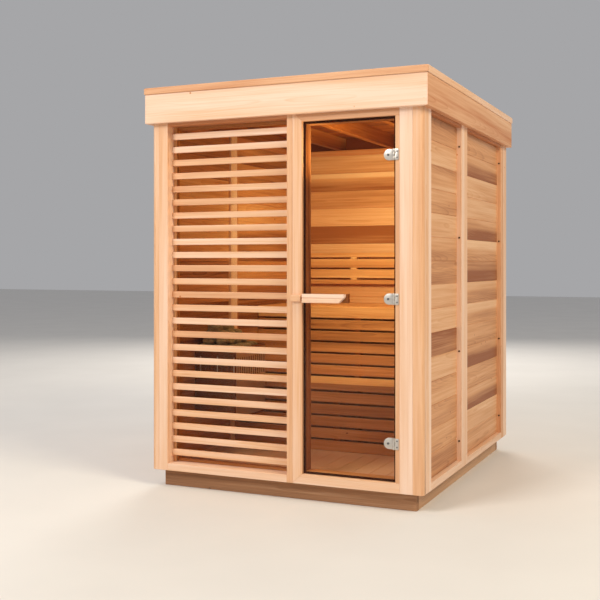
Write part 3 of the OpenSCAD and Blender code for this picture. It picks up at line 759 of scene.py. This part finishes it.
class SAUNA_OT_casing(SaunaOperator):
    """Fit the rebated door casing with its seal and the keeper"""

    bl_idname = "sauna.casing"
    bl_label = "Door casing"

    def execute(self, context):
        seed_chance("casing")
        low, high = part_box("door_jambs")
        foot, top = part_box("door_head_sill")
        open_low, open_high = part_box("door_seal")
        stop, stop_y = 0.012, open_high.y
        parts = []
        for front, back, inset, tones in (
            # The head's darker tone, 0.75, is painted shade under the fascia.
            (low.y, stop_y, 0.0, (0.42, 0.55, 0.75, 0.3)),
            (stop_y, high.y, stop, (0.85, 0.5, 0.5, 0.3)),
        ):
            x0, x1 = open_low.x + inset, open_high.x - inset
            z0, z1 = open_low.z + inset, open_high.z - inset
            latch = add_block((low.x, front, foot.z), (x0, back, top.z))
            slice_off(latch, (x0, 0, z1), (1, 0, 1))
            slice_off(latch, (x0, 0, z0), (1, 0, -1))
            hinge = add_block((x1, front, z0), (high.x, back, z1))
            head = add_block((low.x, front, z1), (high.x, back, top.z))
            slice_off(head, (x0, 0, z1), (-1, 0, -1))
            sill = add_block((low.x, front, foot.z), (high.x, back, z0))
            slice_off(sill, (x0, 0, z0), (-1, 0, 1))
            for part, grain, tone in zip((latch, hinge, head, sill), "ZZXX", tones, strict=True):
                parts.append(mark_grain(ease(part), grain, tone))
        jambs, rails, stops = parts[:2], parts[2:4], parts[4:]
        finish_piece("door_casing_jambs", jambs, *LIGHT, ["door_jambs"])
        finish_piece("door_casing_rails", rails, *LIGHT, ["door_head_sill"])
        finish_piece("door_stops", stops, "inner cedar", "cedar_light")
        finish_piece("door_seal_strip", [door_seal(open_low, open_high, stop)], *SEAL, ["door_seal"])
        finish_piece("door_keeper", [door_keeper()], *LIGHT, ["latch_keeper"])
        return {"FINISHED"}


def side_wall(name, side, stud_tones, board_patterns):
    """One framed wall; side is -1 for the left and 1 for the right."""
    seed_chance(name)
    lay(f"{name}_wall_frame_studs", f"{name}_wall_studs", "Z", stud_tones, *LIGHT)
    # The two top rails are 0.8 darker: this is painted shade under the fascia.
    rail_tones = (chance.uniform(0.2, 0.4) + darker for darker in (0, 0, 0.8, 0.8))
    lay(f"{name}_wall_frame_rails", f"{name}_wall_rails", "Y", rail_tones, *LIGHT)
    _, (_, before), (after, _), _ = solids(f"{name}_wall_studs")
    bays = solids(f"{name}_wall_boards")
    stud_inner, stud_outer = sorted(abs(corner.x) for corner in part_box(f"{name}_wall_studs"))
    board_inner, board_outer = sorted(abs(corner.x) for corner in bays[0])
    cover = joint_cover(side, stud_inner, (before.y + after.y) / 2)
    finish_piece(f"{name}_joint_cover", [cover], *LIGHT)

    count, shift, setback = bpy.context.scene.sauna_timber.wall_boards, 0.07, 0.002
    cladding, lining = [], []
    for (low, high), pattern in zip(bays, board_patterns, strict=True):
        cladding += clad(low, high, "Y", "Z", count, sorted_tones(pattern, shift))
    finish_piece(f"{name}_wall_cladding", cladding, *WALL, [f"{name}_wall_boards"])
    x0, x1 = sorted((side * (stud_inner + setback), side * board_inner))
    # The dark boards at the top of each bay are partly the wood's tone and partly painted shade under the
    # roof.
    for (low, high), pattern in zip(bays, ("dnlllmdmddnndmm", "dnmlmdmdddddnnm"), strict=True):
        first, last = (x0, low.y, low.z), (x1, high.y, high.z)
        lining += clad(first, last, "Y", "Z", count, sorted_tones(pattern))
    finish_piece(f"{name}_wall_lining", lining, *INNER)

    radius, heights = bpy.context.scene.sauna_fittings.screw_head, (0.236, 0.725, 1.343, 1.838)
    x = side * (stud_outer + board_outer) / 2
    screws = [add_screw((x, high.y, z), -1, radius) for _, high in bays for z in heights]
    # The screws' dark colour is partly painted shade in their countersinks.
    finish_piece(f"{name}_wall_screws", screws, "coated screw", "stainless")


def joint_cover(side, inner, joint_y):
    """The batten over the joint of the two panels, on the inside of the wall."""
    width, thick, offset = 0.078, 0.012, 0.014
    middle = joint_y - offset
    x0, x1 = sorted((side * inner, side * (inner - thick)))
    z0, z1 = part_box("floor_deck")[1].z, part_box("roof_rafters")[0].z
    first, last = (x0, middle - width / 2, z0), (x1, middle + width / 2, z1)
    return add_board(first, last, "Z", 0.1, 0.003)


class SAUNA_OT_side_walls(SaunaOperator):
    """Build the framed side walls with their recessed boards, inner lining and screws"""

    bl_idname = "sauna.side_walls"
    bl_label = "Side walls"

    def execute(self, context):
        side_wall("left", -1, (0.5, 0.8, 0.8, 0.3), ("mnlmdmnmlmdnmlm", "lmndmmlnmdmlnmm"))
        side_wall("right", 1, (0.0, 0.15, 0.28, 0.58), ("nlmmlmnlldlmmmn", "mNllNlDMlmDmNlm"))
        return {"FINISHED"}


class SAUNA_OT_back_wall(SaunaOperator):
    """Build the framed back wall"""

    bl_idname = "sauna.back_wall"
    bl_label = "Back wall"

    def execute(self, context):
        seed_chance("back")
        lay("back_wall_frame_studs", "back_wall_studs", "Z", tones_between(0.1, 0.35), *LIGHT)
        # The top rail's dark tone, 0.9, is painted shade under the roof.
        lay("back_wall_frame_rails", "back_wall_rails", "X", (0.3, 0.9), *LIGHT, radius=0.0025)
        low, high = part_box("back_wall_boards")
        count = context.scene.sauna_timber.wall_boards
        cladding = clad(low, high, "X", "Z", count, sorted_tones("msnlxlnmlnmldmn"))
        finish_piece("back_wall_cladding", cladding, *WALL, ["back_wall_boards"])
        return {"FINISHED"}


def membrane_sheets(low, high):
    """Three sheets across the roof, with the middle one lapped over the other two."""
    thick, lift, lap = 0.002, 0.001, 0.08
    width = (high.y - low.y) / 3
    sheets = []
    for i in range(3):
        base, more = (low.z + lift, lap / 2) if i == 1 else (low.z, 0)
        first, last = low.y + i * width - more, low.y + (i + 1) * width + more
        sheets.append(ease(add_block((low.x, first, base), (high.x, last, base + thick)), 0.0006, 1))
    return sheets


class SAUNA_OT_roof(SaunaOperator):
    """Lay the rafters, the ceiling and roof boards, and the membrane"""

    bl_idname = "sauna.roof"
    bl_label = "Roof"

    def execute(self, context):
        seed_chance("roof")
        lay("rafters", "roof_rafters", "Y", tones_between(0.42, 0.6), *ROOF)
        low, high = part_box("roof_deck")
        ceiling_top, roof_boards = low.z + 0.022, 12
        count = round((high.y - low.y) / context.scene.sauna_timber.ceiling_board)
        tones = tones_between(0.5, 0.7)
        ceiling = clad(low, (high.x, high.y, ceiling_top), "X", "Y", count, tones)
        finish_piece("ceiling_boards", ceiling, *ROOF, ["roof_deck"])
        low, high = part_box("roof_covering")
        first, last = (low.x, low.y, ceiling_top), (high.x, high.y, low.z)
        roof = clad(first, last, "Y", "X", roof_boards, tones_between(0.3, 0.6))
        finish_piece("roof_boards", roof, *INNER)
        beams, thick = solids("roof_rafters"), 0.006
        # Boards close the gaps between the rafters' ends, and their near-black tone, 1.4, is painted shade.
        closers = [
            add_board((left.x, end.y - thick, foot.z), (foot.x, end.y, end.z), "X", 1.4, 0.001)
            for (_, left), (foot, end) in zip(beams, beams[1:])
        ]
        finish_piece("eaves_closers", closers, "roof cedar", "cedar_dark")
        sheets = membrane_sheets(low, high)
        finish_piece("roof_membrane", sheets, "roof membrane", "roofing", ["roof_covering"])
        return {"FINISHED"}


class SAUNA_OT_fascia(SaunaOperator):
    """Fit the mitred fascia and roof cap"""

    bl_idname = "sauna.fascia"
    bl_label = "Fascia and cap"

    def execute(self, context):
        seed_chance("fascia")
        for node, grain, radius, tone in (
            ("fascia_front_rear", "X", 0.0025, 0.12),
            ("fascia_sides", "Y", 0.0025, 0.68),
            ("roof_cap_front_rear", "X", 0.004, 0.72),
            ("roof_cap_sides", "Y", 0.004, 0.22),
        ):
            along, aside = (0, 1) if grain == "X" else (1, 0)
            parts = []
            for low, high in solids(node):
                outward = 1 if low[aside] > 0 else -1
                board = add_block(low, high)
                for end in (-1, 1):
                    corner, normal = Vector(), Vector()
                    corner[along] = high[along] if end > 0 else low[along]
                    corner[aside] = high[aside] if outward > 0 else low[aside]
                    normal[along], normal[aside] = end, -outward
                    slice_off(board, corner, normal)
                parts.append(mark_grain(ease(board, radius), grain, tone))
            finish_piece(f"{node}_boards", parts, *LIGHT, [node])
        return {"FINISHED"}


def lower_bench():
    """The lower bench's boards. The front one is made anew, behind a nosing strip whose darker tone is
    painted shade.
    """
    nosing, radius = 0.012, 0.004
    boards = boards_of("lower_bench_boards", "X", tones_between(-0.3, -0.1), radius)
    low, high = solids("lower_bench_boards")[0]
    # The nosing's darker tone, 0.55, is painted shade on the bench's front edge.
    nose = add_board(low, (high.x, low.y + nosing, high.z), "X", 0.55, radius)
    bpy.data.objects.remove(boards[0])
    boards[0] = add_board((low.x, low.y + nosing, low.z), high, "X", -0.2, 0.0005)
    return [*boards, nose]


def backrest_supports():
    """The backrest's battens, and the spacers that sit between its slats in front of them."""
    battens = boards_of("backrest_battens", "Z", tones_between(0.0, 0.05))
    slats, gap = solids("backrest_slats"), 0.001
    for low, high in solids("backrest_battens"):
        for (_, under), (over, _) in zip(slats, slats[1:]):
            first, last = (low.x, over.y + gap, under.z), (high.x, low.y, over.z)
            battens.append(add_board(first, last, "X", 0.1, 0.0008))
    return battens


def bench_framing():
    """Bearers under the boards and the legs behind the skirts."""
    lower_low, lower_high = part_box("lower_bench_boards")
    upper_low, upper_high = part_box("upper_bench_boards")
    skirt_low, skirt_high = solids("bench_skirts")[0]
    skirt, board = skirt_high.y - skirt_low.y, lower_high.z - lower_low.z
    bearer, leg = 0.064, 0.038
    floor_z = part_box("floor_deck")[1].z
    lower_y, upper_y = lower_low.y + skirt, upper_low.y + skirt
    under_upper = upper_high.z - board
    made = []
    for low, high in solids("bench_frames"):
        for first, last, grain in (
            ((lower_y + leg, lower_low.z - bearer), (upper_y, lower_low.z), "Y"),
            ((lower_y, floor_z), (lower_y + leg, lower_low.z), "Z"),
            ((upper_y, floor_z), (upper_y + leg, upper_low.z), "Z"),
            ((upper_low.y + board, under_upper - bearer), (upper_high.y, under_upper), "Y"),
        ):
            tone = chance.uniform(0.4, 0.7)
            made.append(add_board((low.x, *first), (high.x, *last), grain, tone))
    return made


class SAUNA_OT_benches(SaunaOperator):
    """Build the two benches with their skirts and frames, and the backrest"""

    bl_idname = "sauna.benches"
    bl_label = "Benches"

    def execute(self, context):
        seed_chance("benches")
        finish_piece("lower_bench_top", lower_bench(), *BENCH, ["lower_bench_boards"])
        tones = tones_between(0.25, 0.5)
        lay("upper_bench_top", "upper_bench_boards", "X", tones, *BENCH, radius=0.004)
        lower_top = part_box("lower_bench_boards")[1].z
        skirts = solids("bench_skirts")
        tones = (chance.uniform(0.5, 0.64) - 0.1 * (high.z < lower_top) for _, high in skirts)
        lay("bench_skirt_slats", "bench_skirts", "X", tones, *BENCH, radius=0.003)
        tones = tones_between(0.3, 0.45)
        lay("backrest_boards", "backrest_slats", "X", tones, *BENCH, radius=0.003)
        finish_piece("backrest_supports", backrest_supports(), *BENCH, ["backrest_battens"])
        finish_piece("bench_framing", bench_framing(), *BENCH, ["bench_frames"])
        return {"FINISHED"}


def heater_housing():
    """The painted body with its stone basket, and the steel jacket round it with the front's bars."""
    low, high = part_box("heater_body")
    edge, wall, basket, sheet, lip = 0.024, 0.012, 0.060, 0.0015, 0.012
    inner_low, inner_high = low + Vector((sheet, 0, 0)), high - Vector((sheet, sheet, 0))
    body = bevel_edges(add_block(inner_low, inner_high), edge, 6, runs_along("Z"))
    edit_faces(body, lambda normal: normal.z > 0.9)
    bpy.ops.mesh.inset(thickness=wall)
    bpy.ops.mesh.extrude_region_move(TRANSFORM_OT_translate={"value": (0, 0, -basket)})
    leave_edit()
    jacket = add_block((low.x, low.y, low.z + lip), (high.x, high.y, high.z - lip))
    bevel_edges(jacket, edge, 6, runs_along("Z"))
    core = add_block((inner_low.x, low.y - edge, low.z), inner_high)
    cut(jacket, bevel_edges(core, edge - sheet, 6, runs_along("Z")))
    for part in (body, jacket):
        cut(part, slot_cutter(low, high, edge, wall / 2))
    return polish(body, 0.0015), [smooth(jacket), *heater_grille(low, high)]


def heater_grille(low, high):
    """Upright steel bars over the front's air slots."""
    width, over, proud, sunk = 0.006, 0.005, 0.003, 0.001
    foot = low.z + SLOT_FOOT - over
    top = foot + SLOT_HEIGHT + 2 * over
    bars = []
    for share in (0.2, 0.6, 0.99):
        x = low.x + share * (high.x - low.x)
        bars.append(ease(add_block((x - width, low.y - proud, foot), (x, low.y + sunk, top)), 0.0008))
    return bars


def slot_cutter(low, high, edge, deep):
    """One cutter for all the upright air slots in the front and the right side."""
    width, past = 0.010, 0.01
    foot = low.z + SLOT_FOOT
    top = foot + SLOT_HEIGHT
    made = []
    for along, count in ((0, 9), (1, 13)):
        pitch = (high[along] - low[along] - 2 * edge) / count
        for i in range(count):
            centre = low[along] + edge + (i + 0.5) * pitch
            first, last = centre - width / 2, centre + width / 2
            if along == 0:
                made.append(add_block((first, low.y - past, foot), (last, low.y + deep, top)))
            else:
                made.append(add_block((high.x - deep, first, foot), (high.x + past, last, top)))
    return join(made)


def heater_stone(low, high):
    """A split stone: a ball whose sides are knocked flat at random, then roughened and turned.

    The higher it lies, the larger it is and the further it leans to the front and the left.
    """
    flats, waves, full_turn = 11, 6, 6.28
    rise = low.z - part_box("heater_stones")[0].z
    size = (high - low) / 2 * (chance.uniform(1.2, 1.32) + 1.2 * rise)
    centre = (low + high) / 2 - Vector((0.15 * rise, 0.5 * rise, 0))
    deselect()
    bpy.ops.mesh.primitive_ico_sphere_add(subdivisions=3, radius=1, location=(0, 0, 0))
    rock = bpy.context.object
    places = np.empty(len(rock.data.vertices) * 3, np.float32)
    rock.data.vertices.foreach_get("co", places)
    places = places.reshape(-1, 3).astype(float)
    for _ in range(flats):
        normal = np.array([chance.gauss(0, 1) for _ in range(3)])
        normal /= np.linalg.norm(normal)
        beyond = np.clip(places @ normal - chance.uniform(0.62, 0.88), 0, None)
        places -= np.outer(beyond, normal)
    for _ in range(waves):
        wave = np.array([chance.uniform(-9, 9) for _ in range(3)])
        places *= 1 + 0.012 * np.sin(places @ wave + chance.uniform(0, full_turn))[:, None]
    turn = np.array(Euler([chance.uniform(0, full_turn) for _ in range(3)]).to_matrix())
    places = places @ turn.T
    places /= np.abs(places).max(0)
    places = places * np.array(size) + np.array(centre)
    rock.data.vertices.foreach_set("co", places.astype(np.float32).ravel())
    rock.data.update()
    return smooth(rock, 28)


class SAUNA_OT_heater(SaunaOperator):
    """Hang the heater on its bracket and fill its basket with stones"""

    bl_idname = "sauna.heater"
    bl_label = "Heater"

    def execute(self, context):
        housing, jacket = heater_housing()
        finish_piece("heater_housing", [housing], "heater paint", "heater_housing", ["heater_body"])
        finish_piece("heater_jacket", jacket, "stainless steel", "heater_housing")
        rails = [ease(add_block(low, high), 0.0015) for low, high in solids("heater_bracket")]
        finish_piece("heater_wall_bracket", rails, *STEEL, ["heater_bracket"])
        seed_chance("stones")
        stones = [heater_stone(low, high) for low, high in solids("heater_stones")]
        finish_piece("heater_stone_pile", stones, "heater stone", "heater_stone", ["heater_stones"])
        return {"FINISHED"}


def hinge_knuckle(middle, height):
    radius, eased = 0.006, 0.0006
    return polish(add_rod((HINGE_AXIS.x, HINGE_AXIS.y, middle), radius, height, sides=32), eased)


def frame_leaf(low, high, screws):
    """The plate on the jamb, the outer two knuckles and the pin's ends. Its screws go into the list."""
    x, wall_y = HINGE_AXIS.x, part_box("front_stiles")[0].y
    front = wall_y - HINGE_PLATE
    height, middle = high.z - low.z, (low.z + high.z) / 2
    knuckle, gap, pin_end = height / 3, 0.0005, 0.0012
    leaf_x, notch_x, screw_x = x + 0.002, x + 0.0072, x + 0.0175
    leaf = add_block((leaf_x, front, low.z), (high.x, wall_y, high.z))
    bevel_edges(leaf, 0.004, 4, runs_along("Y", x=high.x))
    half, past = knuckle / 2 + gap, 0.01
    notch = add_block((x - past, front - past, middle - half), (notch_x, wall_y + past, middle + half))
    parts = [polish(cut(leaf, notch), 0.0006)]
    for side in (-1, 1):
        parts.append(hinge_knuckle(middle + side * (knuckle + gap / 2), knuckle - gap))
        tip = (x, HINGE_AXIS.y, middle + side * (height / 2 + pin_end / 2))
        parts.append(polish(add_rod(tip, 0.0035, pin_end), 0.0004))
        screws.append(add_screw((screw_x, front, middle + side * height * 0.28), -1, 0.0036))
    return parts


def glass_plates(low, high, bolts):
    """The plates on both faces of the glass and the middle knuckle. The bolts go into the list."""
    glass_low, glass_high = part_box("door_glass")
    front, rear = glass_low.y - HINGE_PLATE, glass_high.y + HINGE_PLATE
    height, middle = high.z - low.z, (low.z + high.z) / 2
    left, right, overlap, slack = low.x, HINGE_AXIS.x - 0.008, 0.001, 0.0002
    parts = []
    for y0, y1 in ((front, glass_low.y), (glass_high.y, rear)):
        plate = add_block((left, y0, low.z), (right, y1, high.z))
        bevel_edges(plate, height / 2 - slack, 12, runs_along("Y", x=left))
        parts.append(polish(plate, 0.0006))
    knuckle = height / 3 - 2 * slack
    parts.append(hinge_knuckle(middle, knuckle))
    foot, top = middle - knuckle / 2, middle + knuckle / 2
    link = add_block((right - overlap, front, foot), (HINGE_AXIS.x, glass_low.y, top))
    parts.append(ease(link, 0.0005))
    for y, facing in ((front, -1), (rear, 1)):
        bolts.append(add_screw(((left + right) / 2, y, middle), facing, 0.0058))
    return parts


def pull_bars():
    """The grooved bars on both faces of the glass, the outer one slanted at its end and the inner one darker
    as painted shade, and their spacers.
    """
    low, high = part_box("door_handles")
    glass_low, glass_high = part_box("door_glass")
    thick, gap, end_cut, slant = 0.026, 0.011, 0.020, 0.008
    groove, half, past = 0.003, 0.004, 0.01
    middle = (low.z + high.z) / 2
    bars, bolts = [], []
    # The inner bar's darker tone, 0.7, is painted shade behind the glass.
    for outer, x0, tone in ((-1, low.x, 0.05), (1, low.x + end_cut, 0.7)):
        near = glass_low.y - gap if outer < 0 else glass_high.y + gap
        far = near + outer * thick
        bar = add_block((x0, min(near, far), low.z), (high.x, max(near, far), high.z))
        if outer < 0:
            slice_off(bar, (high.x, 0, middle + slant), (1, 0, -1))
        first = (x0 - past, far - groove, middle - half)
        last = (high.x + past, far + groove, middle + half)
        bars.append(mark_grain(ease_sharp(cut(bar, add_block(first, last)), 0.0012), "X", tone))
    start = low.x + end_cut
    for share in (0.2, 0.8):
        x = start + share * (high.x - start)
        for front, back in ((glass_low.y - gap, glass_low.y), (glass_high.y, glass_high.y + gap)):
            bolts.append(polish(add_rod((x, (front + back) / 2, middle), 0.010, gap, "Y", 32), 0.0008))
    return bars, bolts


class SAUNA_OT_door(SaunaOperator):
    """Hang the glass door with its hinges and pull bars"""

    bl_idname = "sauna.door"
    bl_label = "Glass door"

    def execute(self, context):
        pane = ease(add_block(*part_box("door_glass")), 0.0012, 1)
        finish_piece("door_pane", [pane], *GLASS, ["door_glass"], DOOR)
        leaves, plates, leaf_screws, plate_bolts = [], [], [], []
        for low, high in solids("hinge_frame_leaves"):
            leaves += frame_leaf(low, high, leaf_screws)
        for low, high in solids("hinge_glass_plates"):
            plates += glass_plates(low, high, plate_bolts)
        finish_piece("hinge_leaves", leaves, *STEEL, ["hinge_frame_leaves"])
        finish_piece("hinge_plates", plates, *STEEL, ["hinge_glass_plates"], DOOR)
        finish_piece("hinge_leaf_screws", leaf_screws, *BOLT)
        finish_piece("hinge_plate_bolts", plate_bolts, *BOLT, body=DOOR)
        seed_chance("handles")
        (outer, inner), bolts = pull_bars()
        finish_piece("pull_bar_outer", [outer], *LIGHT, ["door_handles"], DOOR)
        # The inner bar's darker wood is painted shade behind the glass.
        finish_piece("pull_bar_inner", [inner], "inner cedar", "cedar_light", ["door_handles"], DOOR)
        finish_piece("pull_bar_bolts", bolts, *STEEL, body=DOOR)
        return {"FINISHED"}


def studio_floor(tint):
    deselect()
    bpy.ops.mesh.primitive_plane_add(size=60, location=(0, 0, 0))
    floor = bpy.context.object
    floor.name = "studio_floor"
    s = Shader("studio floor")
    mottle = s.noise(1.5, 4)
    s.set(s.surface, "Base Color", s.ramp(mottle, (0.3, dimmed(tint, 0.96)), (0.7, tint)))
    s.set(s.surface, "Roughness", 0.9)
    floor.data.materials.append(s.material)


def surroundings(tint):
    world = bpy.data.worlds.new("studio")
    world.use_nodes = True
    light = world.node_tree.nodes["Background"]
    light.inputs["Color"].default_value = (*tint, 1)
    light.inputs["Strength"].default_value = 0.45
    bpy.context.scene.world = world


class SAUNA_OT_stage(SaunaOperator):
    """Set the studio floor, the lights and the camera"""

    bl_idname = "sauna.stage"
    bl_label = "Stage"

    def execute(self, context):
        settings = context.scene.sauna_stage
        studio_floor(settings.floor)
        surroundings(settings.sky)
        middle = (0, 0, 1.1)
        for name, place, target, size, spread, power, tint in (
            ("key", (-2.8, -7.0, 6.0), middle, 3.0, 180, 420, (1.0, 0.94, 0.86)),
            ("fill", (6.0, -3.0, 6.2), middle, 3.0, 180, 385, (1.0, 0.86, 0.62)),
            ("rear", (-2.5, 7.0, 5.0), middle, 4.0, 180, 330, (1.0, 0.93, 0.84)),
            ("inner", (0.22, -0.60, 1.75), (0.1, 0.82, 1.38), 0.4, 125, 12.3, (1.0, 0.94, 0.55)),
            ("glow", (0.30, -0.20, 1.70), (-0.70, -0.45, 1.35), 0.15, 150, 2.3, (1.0, 0.85, 0.4)),
            ("door", (0.50, -0.78, 1.55), (0.13, -0.85, 1.80), 0.08, 50, 0.45, (1.0, 0.85, 0.5)),
            ("floor", (0.30, -0.50, 0.80), (0.34, -0.55, 0.11), 0.20, 60, 0.09, (1.0, 0.88, 0.4)),
        ):
            deselect()
            bpy.ops.object.light_add(type="AREA", location=place)
            lamp = context.object
            lamp.name = lamp.data.name = f"{name} light"
            lamp.rotation_euler = (Vector(target) - Vector(place)).to_track_quat("-Z", "Y").to_euler()
            lamp.visible_camera, lamp.visible_glossy = False, spread == 180
            lamp.data.spread = math.radians(spread)
            lamp.data.size, lamp.data.energy, lamp.data.color = size, power, tint
        deselect()
        bpy.ops.object.camera_add(location=settings.place, rotation=(math.pi / 2, 0, settings.turn))
        camera = context.object
        camera.data.sensor_width = 36
        camera.data.lens = settings.lens
        camera.data.shift_y = settings.shift
        context.scene.camera = camera
        context.scene.view_settings.view_transform = "Standard"
        return {"FINISHED"}


class SAUNA_PT_panel(bpy.types.Panel):
    """The sauna's pieces, in the order in which they are built"""

    bl_idname = "SAUNA_PT_panel"
    bl_label = "Cube sauna"
    bl_space_type = "VIEW_3D"
    bl_region_type = "UI"
    bl_category = "Cube sauna"

    def draw(self, context):
        for settings in (context.scene.sauna_timber, context.scene.sauna_fittings, context.scene.sauna_stage):
            box = self.layout.box()
            for name in settings.__annotations__:
                box.prop(settings, name)
        for operator in OPERATORS:
            self.layout.operator(operator.bl_idname)


GROUPS = {"sauna_timber": TimberSettings, "sauna_fittings": FittingSettings, "sauna_stage": StageSettings}
OPERATORS = (
    SAUNA_OT_stage,
    SAUNA_OT_base,
    SAUNA_OT_floor,
    SAUNA_OT_front_frame,
    SAUNA_OT_louvres,
    SAUNA_OT_casing,
    SAUNA_OT_side_walls,
    SAUNA_OT_back_wall,
    SAUNA_OT_roof,
    SAUNA_OT_fascia,
    SAUNA_OT_benches,
    SAUNA_OT_heater,
    SAUNA_OT_door,
)


def register():
    for cls in (*GROUPS.values(), *OPERATORS, SAUNA_PT_panel):
        bpy.utils.register_class(cls)
    for name, group in GROUPS.items():
        setattr(bpy.types.Scene, name, PointerProperty(type=group))


def unregister():
    for name in GROUPS:
        delattr(bpy.types.Scene, name)
    for cls in reversed((*GROUPS.values(), *OPERATORS, SAUNA_PT_panel)):
        bpy.utils.unregister_class(cls)


def main():
    register()
    for operator in OPERATORS:
        family, name = operator.bl_idname.split(".")
        getattr(getattr(bpy.ops, family), name)()


if __name__ == "__main__":
    main()
